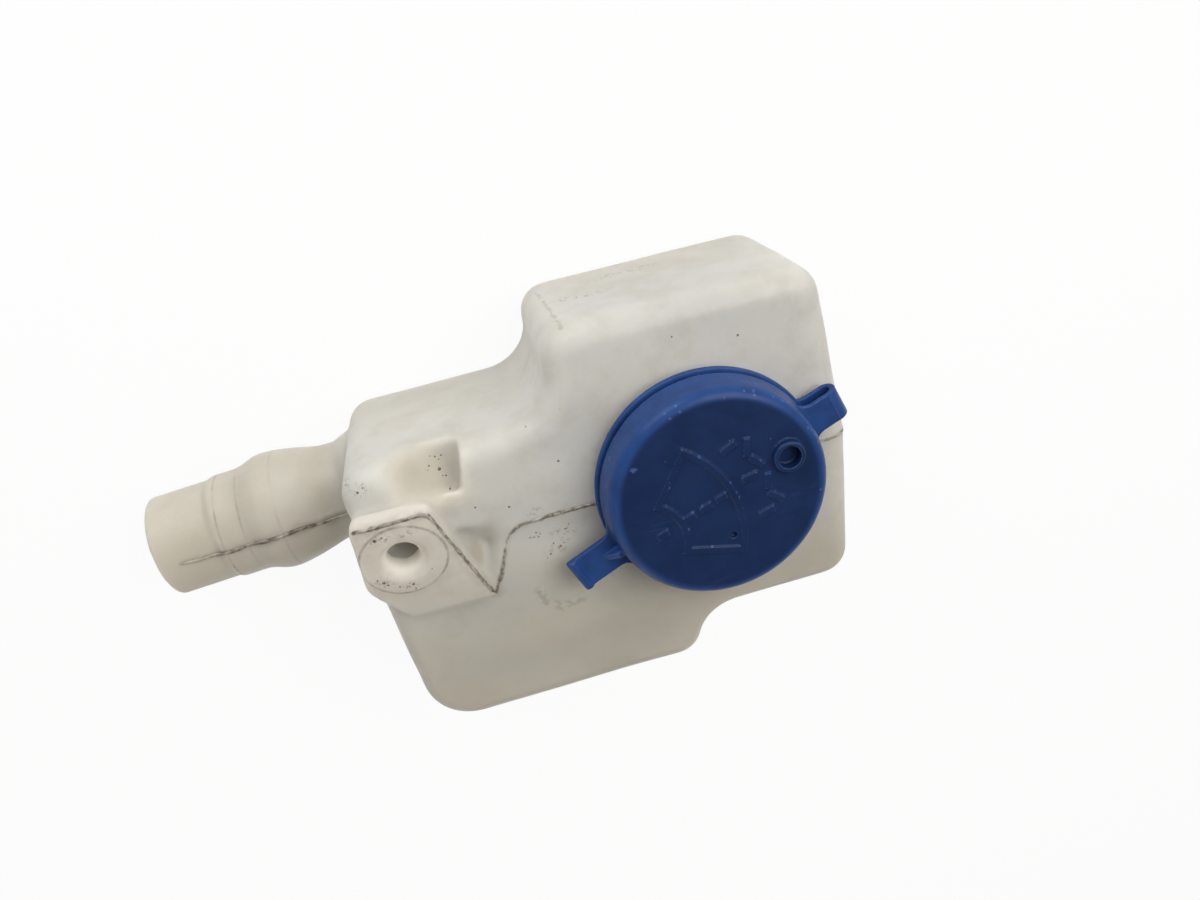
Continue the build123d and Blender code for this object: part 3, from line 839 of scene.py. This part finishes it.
# Surface: roughness, what dirt adds to it, and the depth of the light that scatters inside
TANK_ROUGHNESS = ((7.0, 3.0), (0.3, 0.7, 0.4, 0.54))
DIRT_ROUGHNESS = 0.25
TANK_IOR = 1.5
TANK_SPECULAR = 0.4
SCATTER_COLOURS = (1.0, 0.96, 0.9)
SCATTER_DEPTH = 8 * MM
TANK_FINE_GRAIN = (0.9, 3.0, 0.6)
TANK_FINE_SHARE = 0.35
TANK_COARSE_GRAIN = (6.0, 2.0)
TANK_BUMP = (0.35, 0.22)


def tank_tint(s, x, y, z):
    """Milky plastic with age clouds, painted shade on the pipe, belly, recess and pocket, darker towards the base,
    and painted glow in the bolt hole
    """
    # Painted shade on the pipe and the belly, and a darker tint towards the base
    pipe = s.span(x, *PIPE_SHADE)
    belly = s.span(y, *BELLY_SHADE)
    base = s.span(z, *BASE_DARKENING)
    clouds = s.noise(*AGE_CLOUDS)
    # Painted shade in the recess and in the pocket's depth
    recess = s.ball(*RECESS_SHADE_BALL)
    pocket = s.product(s.ball(*POCKET_SHADE_BALL), POCKET_SHADE)
    places = s.product(s.most([pipe, belly, base, recess, pocket]), PLACE_SHARE)
    # The darker tint: age in the clouds, painted shade in the places
    age_and_shade = s.math("MULTIPLY_ADD", clouds, CLOUD_SHARE, places)
    tint = s.mix(s.math("SUBTRACT", age_and_shade, UNAGED, clamp=True), MILK, AGED_AND_SHADED)
    tint = s.mix(s.pattern(*BLOTCHES), tint, SHADE)
    # Painted light: the bolt hole is lightened as if it glowed through the plate
    inside = s.ball((LUG_HOLE - LUG_AXIS * HOLE_GLOW_DEPTH) / MM, HOLE_GLOW_RADIUS, HOLE_GLOW_SOFT)
    return s.mix(inside, tint, HOLE_GLOW)


def boss_grime(s):
    """A thin ring of grime about the lug's boss"""
    offset = s.vector("SUBTRACT", s.point, tuple(LUG_HOLE / MM))
    along = s.vector("DOT_PRODUCT", offset, tuple(LUG_AXIS))
    axis_part = s.vector("SCALE", tuple(LUG_AXIS), scale=along)
    distance = s.vector("LENGTH", s.vector("SUBTRACT", offset, axis_part))
    off_ring = s.math("ABSOLUTE", s.math("SUBTRACT", distance, BOSS_RADIUS))
    above = s.math("GREATER_THAN", along, BOSS_START)
    return s.product(s.product(s.span(off_ring, *BOSS_GRIME), above), s.pattern(*BOSS_BREAKS))


def line_grime_and_shade(s, x, wobbled, from_lug):
    """Grime in the flash lines and about the boss, painted shade along the lug's wall and in the pipe's grooves,
    broken up
    """
    # Grime along the lug's line, with painted shade of the lug's wall
    lug = s.span(from_lug, *LUG_GRIME_AND_SHADE)
    top = s.span(s.line_distance(TOP_LINE, wobbled), *TOP_GRIME)
    right = s.span(s.line_distance(RIGHT_GRIME_LINE, wobbled), *RIGHT_GRIME)
    pipe = s.span(s.line_distance(PIPE_LINE, wobbled), *PIPE_GRIME)
    pipe = s.product(pipe, s.span(x, *PIPE_GRIME_START))
    boss = boss_grime(s)
    # Painted shade in the pipe's grooves, as broken dark rings
    patchy = s.pattern(*GROOVE_SHADE_BREAKS)
    grooves = []
    for place, half, strength in PIPE_GROOVE_SHADE:
        off = s.math("ABSOLUTE", s.math("SUBTRACT", x, place))
        grooves.append(s.product(s.span(off, GROOVE_SHADE_CORE, half, strength, 0.0), patchy))
    return s.most([lug, top, right, pipe, boss, *grooves])


def scuff_marks(s, wobbled):
    """Short crossing scratches inside soft patches, with rubbed dirt between and two smears"""
    places = s.most(s.ball(centre, radius, SCUFF_SOFT, shape) for centre, radius, shape in SCUFFS)
    scratches = [s.scratches(*each) for each in SCUFF_SCRATCHES]
    rubbed = s.pattern(*RUBBED)
    scratched = s.product(s.product(s.most(scratches), rubbed), places)
    smear = s.product(rubbed, places)
    trace = s.most([
        s.span(s.line_distance(SMEAR_LINE, s.point), *SMEAR),
        s.span(s.line_distance(CORNER_LINE, wobbled), *CORNER_RUB),
    ])
    smear = s.most([smear, s.product(trace, s.pattern(*TRACE_BREAKS))])
    return s.most([s.product(scratched, SCRATCH_SHARE), s.product(smear, SMEAR_SHARE)])


def tank_material(name, scattering, skin):
    """Milky polyethylene with its grime, marks and painted shade, whose lug line is laid on the tank's skin"""
    s = Shader(name)
    wobbled = s.wobbled(WOBBLE_SCALE, WOBBLE_REACH)
    x, y, z = s.add("ShaderNodeSeparateXYZ", {0: s.point}).outputs
    tint = tank_tint(s, x, y, z)

    broken = s.pattern(*LINE_BREAKS)
    lug_line = [skin.find_nearest(point)[0] for point in LUG_LINE]
    from_lug = s.line_distance(lug_line + [TOP_LINE[0]], wobbled)
    lines = line_grime_and_shade(s, x, wobbled, from_lug)
    lines = s.product(lines, s.math("MULTIPLY_ADD", broken, *BROKEN_SHARES))
    # Painted soft shadow beside the lug's line and the pipe's line
    beside = s.math("MINIMUM", from_lug, s.line_distance(SOFT_SHADOW_PIPE_LINE, s.point))
    soft_shadow = s.product(s.span(beside, *SOFT_SHADOW_SPAN), s.pattern(*SOFT_SHADOW_BREAKS))

    specks = s.most(s.ball(centre, radius, SPECK_SOFT, SPECK_STRETCH) for centre, radius in SPECKS)
    specks = s.product(specks, s.pattern(*SPECK_BREAKS))
    # Dirt and marks, with the painted shade along the lug's line and in the pipe's grooves
    dirt_and_shade = s.most([lines, specks, scuff_marks(s, wobbled)])
    colour = s.mix(dirt_and_shade, s.mix(soft_shadow, tint, SOFT_SHADOW_TINT), GRIME_AND_SHADE)
    roughness = s.math("MULTIPLY_ADD", dirt_and_shade, DIRT_ROUGHNESS, s.pattern(*TANK_ROUGHNESS))
    s.put(s.bsdf.inputs["Base Color"], colour)
    s.put(s.bsdf.inputs["Roughness"], roughness)
    s.surface(IOR=TANK_IOR, Specular_IOR_Level=TANK_SPECULAR, Subsurface_Weight=scattering)
    s.surface(Subsurface_Radius=SCATTER_COLOURS, Subsurface_Scale=SCATTER_DEPTH)
    fine, coarse = s.noise(*TANK_FINE_GRAIN), s.noise(*TANK_COARSE_GRAIN)
    s.bump(s.math("MULTIPLY_ADD", fine, TANK_FINE_SHARE, coarse), *TANK_BUMP)
    return s.material


# Cap material

NAVY = linear(21, 44, 86)
NAVY_DEEP = linear(17, 38, 76)
# Lighter navy for the painted highlight on the shoulder
NAVY_SHOULDER_HIGHLIGHT = linear(38, 74, 136)
# Lighter navy for scratches, which are wear, and for the painted highlight on convex edges
NAVY_WORN_AND_HIGHLIGHT = linear(72, 98, 156)
DUST = linear(150, 152, 158)

NAVY_CLOUDS = ((9.0, 4.0, 0.6), (0.3, 0.7))

# Painted highlight on the shoulder, by its distance from the cap's axis
SHOULDER_HIGHLIGHT = (25.6, 27.6, 0.0, 0.75)
SHOULDER_HIGHLIGHT_BREAKS = ((6.0, 3.0), (0.3, 0.6, 0.7, 1.0))

# Painted highlight on convex edges, by their pointiness
EDGE_HIGHLIGHT = (0.515, 0.56)
EDGE_HIGHLIGHT_BREAKS = ((1.6, 3.0), (0.35, 0.6, 0.25, 0.7))
CAP_SCRATCHES = ((35, 0.9), (-62, 1.2))
SCRATCH_PATCHES = ((13.0, 2.0), (0.56, 0.7, 0.0, 0.09))

# Dust: a dot in the middle of some of the cells
DUST_CELL = 2.1
DUSTLESS = 0.9
DUST_DOT = 0.06
DUST_SHARE = 0.45

CAP_ROUGHNESS = ((5.0, 3.0), (0.3, 0.7, 0.34, 0.44))
SCRATCH_ROUGHNESS = 0.2
CAP_IOR = 1.49
CAP_SPECULAR = 0.2
CAP_FINE_GRAIN = (0.35, 2.0)
CAP_FINE_SHARE = 0.3
CAP_COARSE_GRAIN = (3.0, 2.0)
CAP_BUMP = (0.25, 0.08)


def cap_material():
    """Navy polypropylene with painted highlights on the shoulder and the convex edges, scratched and a little
    dusty
    """
    s = Shader("navy_polypropylene")
    colour = s.mix(s.pattern(*NAVY_CLOUDS), NAVY, NAVY_DEEP)
    from_axis = s.vector("LENGTH", s.vector("MULTIPLY", s.point, (1, 1, 0)))
    # Painted highlight all round the shoulder
    shoulder_highlight = s.product(s.span(from_axis, *SHOULDER_HIGHLIGHT), s.pattern(*SHOULDER_HIGHLIGHT_BREAKS))
    colour = s.mix(shoulder_highlight, colour, NAVY_SHOULDER_HIGHLIGHT)
    pointiness = s.add("ShaderNodeNewGeometry").outputs["Pointiness"]
    # Painted highlight on the convex edges
    edge_highlight = s.product(s.span(pointiness, *EDGE_HIGHLIGHT), s.pattern(*EDGE_HIGHLIGHT_BREAKS))
    scratched = s.most([s.scratches(*each) for each in CAP_SCRATCHES])
    scratched = s.product(scratched, s.pattern(*SCRATCH_PATCHES))
    distance, chance = s.cells(DUST_CELL)
    dot_size = s.product(s.math("GREATER_THAN", chance, DUSTLESS), DUST_DOT)
    dust = s.product(s.math("LESS_THAN", distance, dot_size), DUST_SHARE)
    # Lighter navy for the scratches, which are wear, and for the painted edge highlight
    colour = s.mix(s.most([edge_highlight, scratched]), colour, NAVY_WORN_AND_HIGHLIGHT)
    colour = s.mix(dust, colour, DUST)
    roughness = s.math("MULTIPLY_ADD", scratched, SCRATCH_ROUGHNESS, s.pattern(*CAP_ROUGHNESS))
    s.put(s.bsdf.inputs["Base Color"], colour)
    s.put(s.bsdf.inputs["Roughness"], roughness)
    s.surface(IOR=CAP_IOR, Specular_IOR_Level=CAP_SPECULAR)
    fine, coarse = s.noise(*CAP_FINE_GRAIN), s.noise(*CAP_COARSE_GRAIN)
    s.bump(s.math("MULTIPLY_ADD", fine, CAP_FINE_SHARE, coarse), *CAP_BUMP)
    return s.material


# Stage

FLOOR_HALF = 3.0
FLOOR_GAP = 0.02 * MM
FLOOR_GREY = 0.85
FLOOR_WHITENESS = 0.93
WHITE = (1.0, 1.0, 1.0)
SKY_COLOUR = (1.0, 0.965, 0.915)
SKY_STRENGTH = 0.31

# Lights: place, diameter, power and colour, all aimed at one place in the object
LIGHT_AIM = Vector((-0.03, 0, 0.04))
LIGHTS = {
    "window": ((-0.2, 0.48, 0.22), 0.34, 1.25, (0.98, 0.99, 1.0)),
    "sky": ((0.26, 0.26, 0.55), 0.5, 2.7, (1.0, 0.975, 0.94)),
    "fill": ((-0.35, -0.4, 0.2), 0.5, 0.45, (1.0, 0.97, 0.93)),
}


def bright(tree, kind, colour, strength):
    """A light-giving shader of one colour"""
    made = tree.nodes.new(kind)
    made.inputs["Color"].default_value = (*colour, 1)
    made.inputs["Strength"].default_value = strength
    return made.outputs[0]


def show_mixed(tree, kind, share, first, second):
    """Sends the first shader, turning to the second by a share, to an output"""
    mixed = tree.nodes.new("ShaderNodeMixShader")
    for socket, value in zip(mixed.inputs, (share, first, second)):
        tree.links.new(value, socket)
    output = tree.nodes.new(kind)
    tree.links.new(mixed.outputs[0], output.inputs[0])


def white_to_camera(tree, weight):
    """A weight for camera, glossy and transmission rays, none for other rays"""
    path = tree.nodes.new("ShaderNodeLightPath")
    seen = path.outputs["Is Camera Ray"]
    for name in ("Is Glossy Ray", "Is Transmission Ray"):
        either = tree.nodes.new("ShaderNodeMath")
        either.operation = "MAXIMUM"
        tree.links.new(seen, either.inputs[0])
        tree.links.new(path.outputs[name], either.inputs[1])
        seen = either.outputs[0]
    share = tree.nodes.new("ShaderNodeMath")
    share.operation = "MULTIPLY"
    share.inputs[1].default_value = weight
    tree.links.new(seen, share.inputs[0])
    return share.outputs[0]


def floor_material():
    """Pale matte that keeps the object's shadow and shows almost white"""
    material = bpy.data.materials.new("white_floor")
    material.use_nodes = True
    tree = material.node_tree
    tree.nodes.clear()
    matte = tree.nodes.new("ShaderNodeBsdfDiffuse")
    matte.inputs["Color"].default_value = (FLOOR_GREY, FLOOR_GREY, FLOOR_GREY, 1)
    white = bright(tree, "ShaderNodeEmission", WHITE, 1.0)
    share = white_to_camera(tree, FLOOR_WHITENESS)
    show_mixed(tree, "ShaderNodeOutputMaterial", share, matte.outputs[0], white)
    return material


def make_floor():
    """A plain floor just under the tank"""
    corners = [(i * FLOOR_HALF, j * FLOOR_HALF, 0) for i, j in ((-1, -1), (1, -1), (1, 1), (-1, 1))]
    floor = mesh_object("floor", corners, [(0, 1, 2, 3)])
    floor.location.z = TANK_LOW.z - FLOOR_GAP
    floor.data.materials.append(floor_material())


def make_world():
    """Soft warm light from all round, white to the camera"""
    world = bpy.data.worlds.new("studio")
    world.use_nodes = True
    scene.world = world
    tree = world.node_tree
    tree.nodes.clear()
    soft = bright(tree, "ShaderNodeBackground", SKY_COLOUR, SKY_STRENGTH)
    white = bright(tree, "ShaderNodeBackground", WHITE, 1.0)
    seen = tree.nodes.new("ShaderNodeLightPath").outputs["Is Camera Ray"]
    show_mixed(tree, "ShaderNodeOutputWorld", seen, soft, white)


def make_lights():
    """Round area lights"""
    for name, (place, size, power, colour) in LIGHTS.items():
        data = bpy.data.lights.new(name, "AREA")
        data.shape = "DISK"
        data.size = size
        data.energy = power
        data.color = colour
        lamp = new_object(name, data)
        lamp.location = place
        lamp.rotation_euler = (LIGHT_AIM - Vector(place)).to_track_quat("-Z", "Y").to_euler()


# Camera

# As solved from the photograph. The place is in MM, and the near and far limits are in metres
CAMERA_PLACE = (-48.4, 118.0, 285.0)
CAMERA_RIGHT = (0.96149, -0.19979, 0.18873)
CAMERA_DOWN = (-0.25981, -0.88469, 0.38707)
CAMERA_FORWARD = (0.08964, -0.42120, -0.90253)
CAMERA_LENS = 28.283
CAMERA_SENSOR = 36.0
CAMERA_NEAR = 0.01
CAMERA_FAR = 20


def make_camera():
    """The photograph's view"""
    data = bpy.data.cameras.new("camera")
    data.sensor_width = CAMERA_SENSOR
    data.lens = CAMERA_LENS
    data.clip_start = CAMERA_NEAR
    data.clip_end = CAMERA_FAR
    camera = new_object("camera", data)
    axes = Vector(CAMERA_RIGHT), -Vector(CAMERA_DOWN), -Vector(CAMERA_FORWARD)
    turned = Matrix(axes).transposed().to_4x4()
    camera.matrix_world = Matrix.Translation(Vector(CAMERA_PLACE) * MM) @ turned
    scene.camera = camera


# The dressed part

def dress(piece, body, material, slot, *nodes):
    """Material, body and replaced nodes of one piece. The slot is not used"""
    piece.data.materials.clear()
    piece.data.materials.append(material)
    if body:
        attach(piece, body)
    if nodes:
        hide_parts(*nodes)


def dress_tank():
    """The tank and its flash, which is too thin for light to scatter in"""
    tank = make_tank()
    skin = skin_of(tank)
    milky = tank_material("milky_polyethylene", 1.0, skin)
    thin = tank_material("polyethylene_flash", 0.0, skin)
    for name, line, width, rise in FLASH_PIECES:
        flash = make_flash(name, line, skin, width * FLASH_WIDTH, rise * FLASH_RISE)
        dress(flash, "tank", thin, "tank")
    dress(tank, "tank", milky, "tank", "tank_shell")


def dress_cap():
    """The cap, its ring, and the strap's bend that joins them"""
    navy = cap_material()
    dress(make_cap(), "cap", navy, "cap", "filler_cap")
    dress(make_ring(), "ring", navy, "cap", "retaining_ring")
    bend = make_bend()
    dress(bend, None, navy, "cap", "hinge_loop")
    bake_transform(bend)


make_camera()
make_floor()
make_world()
make_lights()
scene.view_settings.view_transform = "Standard"
dress_tank()
dress_cap()
